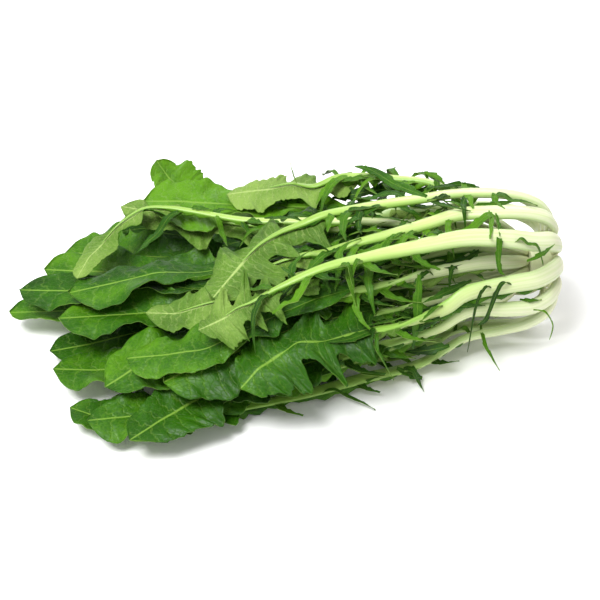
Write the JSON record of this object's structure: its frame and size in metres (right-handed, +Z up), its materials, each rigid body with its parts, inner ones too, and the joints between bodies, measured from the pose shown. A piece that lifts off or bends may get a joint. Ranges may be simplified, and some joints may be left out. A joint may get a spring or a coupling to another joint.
{
  "type": "catalogna chicory head",
  "caption": "Whole head of catalogna chicory lying on its side: long pale ribs from a cut crown, with narrow leaflets and toothed green blades",
  "frame": {"origin": "the middle of the head's footprint, on the surface that it lies on", "axes": "+X towards the cut crown and -X towards the leaf tips, +Z up, Y across the head"},
  "size_m": [0.4706, 0.3021, 0.1289],
  "materials": {
    "crown": "cut root and stem, dull, drying at the edge",
    "rib": "fresh pale fleshy leaf rib, satin, finely lined lengthwise",
    "blade": "fresh green leaf, satin above and dull grey-green below"
  },
  "bodies": {
    "root": {"crown": "crown", "leaf_01_rib": "rib", "leaf_01_blade": "blade", "leaf_02_rib": "rib", "leaf_02_blade": "blade", "leaf_03_rib": "rib", "leaf_03_blade": "blade", "leaf_04_rib": "rib", "leaf_04_blade": "blade", "leaf_05_rib": "rib", "leaf_05_blade": "blade", "leaf_06_rib": "rib", "leaf_06_blade": "blade", "leaf_07_rib": "rib", "leaf_07_blade": "blade", "leaf_08_rib": "rib", "leaf_08_blade": "blade", "leaf_09_rib": "rib", "leaf_09_blade": "blade", "leaf_10_rib": "rib", "leaf_10_blade": "blade", "leaf_11_rib": "rib", "leaf_11_blade": "blade", "leaf_12_rib": "rib", "leaf_12_blade": "blade", "leaf_13_rib": "rib", "leaf_13_blade": "blade", "leaf_14_rib": "rib", "leaf_14_blade": "blade", "leaf_15_rib": "rib", "leaf_15_blade": "blade", "leaf_16_rib": "rib", "leaf_16_blade": "blade", "leaf_17_rib": "rib", "leaf_17_blade": "blade", "leaf_18_rib": "rib", "leaf_18_blade": "blade", "leaf_19_rib": "rib", "leaf_19_blade": "blade", "leaf_20_rib": "rib", "leaf_20_blade": "blade", "leaf_21_rib": "rib", "leaf_21_blade": "blade", "leaf_22_rib": "rib", "leaf_22_blade": "blade", "leaf_23_rib": "rib", "leaf_23_blade": "blade", "leaf_24_rib": "rib", "leaf_24_blade": "blade", "leaf_25_rib": "rib", "leaf_25_blade": "blade", "leaf_26_rib": "rib", "leaf_26_blade": "blade", "leaf_27_rib": "rib", "leaf_27_blade": "blade", "leaf_28_rib": "rib", "leaf_28_blade": "blade", "leaf_29_rib": "rib", "leaf_29_blade": "blade"}
  },
  "joints": []
}
